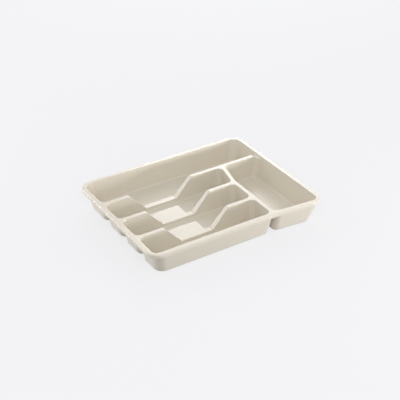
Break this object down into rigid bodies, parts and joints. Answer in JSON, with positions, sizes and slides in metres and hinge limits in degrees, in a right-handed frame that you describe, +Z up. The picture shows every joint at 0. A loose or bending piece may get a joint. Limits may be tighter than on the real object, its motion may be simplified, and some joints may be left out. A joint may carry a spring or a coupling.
{
  "type": "cutlery tray",
  "caption": "Drawer cutlery tray in cream plastic: a long bin along the back, short bins side by side with finger cut-outs in their dividers, and a wide side bin.",
  "frame": {"origin": "centre of the tray's bounding box in plan, on the surface that it stands on", "axes": "+X along the long side towards the wide side bin, +Y towards the long bin at the back, +Z up"},
  "size_m": [0.4, 0.3194, 0.05],
  "materials": {
    "cream_plastic": "smooth moulded polypropylene with a satin surface"
  },
  "bodies": {
    "root": {"rim": "cream_plastic", "long_bin": "cream_plastic", "rear_bin": "cream_plastic", "middle_bin": "cream_plastic", "front_bin": "cream_plastic", "side_bin": "cream_plastic", "rear_saddle": "cream_plastic", "middle_saddle": "cream_plastic", "front_saddle": "cream_plastic", "end_saddle": "cream_plastic", "rear_bin_step": "cream_plastic", "middle_bin_step": "cream_plastic"}
  },
  "joints": []
}
